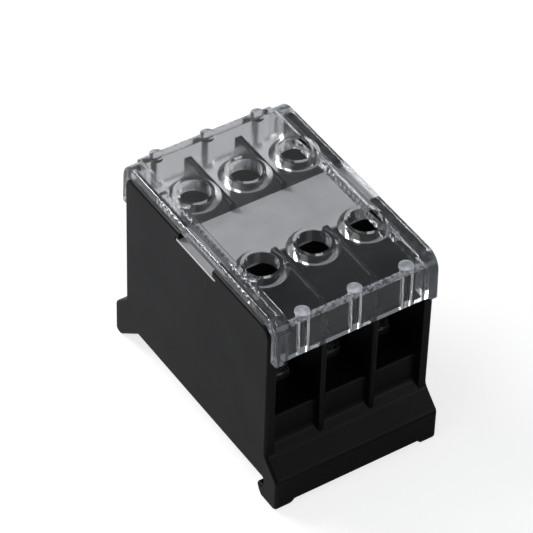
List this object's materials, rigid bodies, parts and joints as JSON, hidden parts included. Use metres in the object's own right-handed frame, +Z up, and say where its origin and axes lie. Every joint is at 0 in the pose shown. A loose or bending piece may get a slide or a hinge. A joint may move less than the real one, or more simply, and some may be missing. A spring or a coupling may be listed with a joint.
{
  "type": "din rail terminal block",
  "caption": "Black moulded screw terminal block for a 35 mm rail, with open wire bays, a clear lift-off cover and a grey marking strip.",
  "frame": {"origin": "centre of the footprint at the bottom of the feet", "axes": "+X across the poles, +Y from front to back along the wires, +Z up"},
  "size_m": [0.0308, 0.0484, 0.039],
  "materials": {
    "black_moulding": "satin moulded",
    "clear_moulding": "clear polished",
    "grey_strip": "matt",
    "latch_moulding": "satin moulded",
    "spring_wire": "bright drawn",
    "tinned_brass": "tin plated",
    "plated_steel": "zinc plated"
  },
  "bodies": {
    "housing": {"housing": "black_moulding", "conductor_bar_1": "tinned_brass", "bar_fixing_screw_1": "plated_steel", "conductor_bar_2": "tinned_brass", "bar_fixing_screw_2": "plated_steel", "conductor_bar_3": "tinned_brass", "bar_fixing_screw_3": "plated_steel", "latch_spring": "spring_wire"},
    "cover": {"cover": "clear_moulding"},
    "strip": {"marking_strip": "grey_strip"},
    "latch": {"rail_latch": "latch_moulding"},
    "clamp_front_1": {"clamp_plate_front_1": "plated_steel", "spring_washer_front_1": "plated_steel"},
    "screw_front_1": {"terminal_screw_front_1": "plated_steel"},
    "clamp_rear_1": {"clamp_plate_rear_1": "plated_steel", "spring_washer_rear_1": "plated_steel"},
    "screw_rear_1": {"terminal_screw_rear_1": "plated_steel"},
    "clamp_front_2": {"clamp_plate_front_2": "plated_steel", "spring_washer_front_2": "plated_steel"},
    "screw_front_2": {"terminal_screw_front_2": "plated_steel"},
    "clamp_rear_2": {"clamp_plate_rear_2": "plated_steel", "spring_washer_rear_2": "plated_steel"},
    "screw_rear_2": {"terminal_screw_rear_2": "plated_steel"},
    "clamp_front_3": {"clamp_plate_front_3": "plated_steel", "spring_washer_front_3": "plated_steel"},
    "screw_front_3": {"terminal_screw_front_3": "plated_steel"},
    "clamp_rear_3": {"clamp_plate_rear_3": "plated_steel", "spring_washer_rear_3": "plated_steel"},
    "screw_rear_3": {"terminal_screw_rear_3": "plated_steel"}
  },
  "joints": [
    {"name": "cover_lift", "type": "slide", "parent": "housing", "child": "cover", "axis": [0, 0, 1], "range_m": [0, 0.02]},
    {"name": "strip_slide", "type": "slide", "parent": "housing", "child": "strip", "axis": [1, 0, 0], "range_m": [-0.031, 0.031]},
    {"name": "latch_pull", "type": "slide", "parent": "housing", "child": "latch", "axis": [0, 1, 0], "range_m": [0, 0.0026], "stiffness_N_per_m": 1500, "springref_m": -0.001, "deforming": ["latch_spring"]},
    {"name": "clamp_lift_front_1", "type": "slide", "parent": "housing", "child": "clamp_front_1", "axis": [0, 0, 1], "range_m": [0, 0.003]},
    {"name": "screw_turn_front_1", "type": "hinge", "parent": "clamp_front_1", "child": "screw_front_1", "pos_m": [-0.0095, -0.0097, 0.0192], "axis": [0, 0, 1], "range_deg": [0, 1800]},
    {"name": "clamp_lift_rear_1", "type": "slide", "parent": "housing", "child": "clamp_rear_1", "axis": [0, 0, 1], "range_m": [0, 0.003]},
    {"name": "screw_turn_rear_1", "type": "hinge", "parent": "clamp_rear_1", "child": "screw_rear_1", "pos_m": [-0.0095, 0.0097, 0.0192], "axis": [0, 0, 1], "range_deg": [0, 1800]},
    {"name": "clamp_lift_front_2", "type": "slide", "parent": "housing", "child": "clamp_front_2", "axis": [0, 0, 1], "range_m": [0, 0.003]},
    {"name": "screw_turn_front_2", "type": "hinge", "parent": "clamp_front_2", "child": "screw_front_2", "pos_m": [0, -0.0097, 0.0192], "axis": [0, 0, 1], "range_deg": [0, 1800]},
    {"name": "clamp_lift_rear_2", "type": "slide", "parent": "housing", "child": "clamp_rear_2", "axis": [0, 0, 1], "range_m": [0, 0.003]},
    {"name": "screw_turn_rear_2", "type": "hinge", "parent": "clamp_rear_2", "child": "screw_rear_2", "pos_m": [0, 0.0097, 0.0192], "axis": [0, 0, 1], "range_deg": [0, 1800]},
    {"name": "clamp_lift_front_3", "type": "slide", "parent": "housing", "child": "clamp_front_3", "axis": [0, 0, 1], "range_m": [0, 0.003]},
    {"name": "screw_turn_front_3", "type": "hinge", "parent": "clamp_front_3", "child": "screw_front_3", "pos_m": [0.0095, -0.0097, 0.0192], "axis": [0, 0, 1], "range_deg": [0, 1800]},
    {"name": "clamp_lift_rear_3", "type": "slide", "parent": "housing", "child": "clamp_rear_3", "axis": [0, 0, 1], "range_m": [0, 0.003]},
    {"name": "screw_turn_rear_3", "type": "hinge", "parent": "clamp_rear_3", "child": "screw_rear_3", "pos_m": [0.0095, 0.0097, 0.0192], "axis": [0, 0, 1], "range_deg": [0, 1800]}
  ],
  "couplings": [
    {"joint": "screw_turn_front_1", "follows": "clamp_lift_front_1", "rad_per_m": 10472},
    {"joint": "screw_turn_rear_1", "follows": "clamp_lift_rear_1", "rad_per_m": 10472},
    {"joint": "screw_turn_front_2", "follows": "clamp_lift_front_2", "rad_per_m": 10472},
    {"joint": "screw_turn_rear_2", "follows": "clamp_lift_rear_2", "rad_per_m": 10472},
    {"joint": "screw_turn_front_3", "follows": "clamp_lift_front_3", "rad_per_m": 10472},
    {"joint": "screw_turn_rear_3", "follows": "clamp_lift_rear_3", "rad_per_m": 10472}
  ]
}
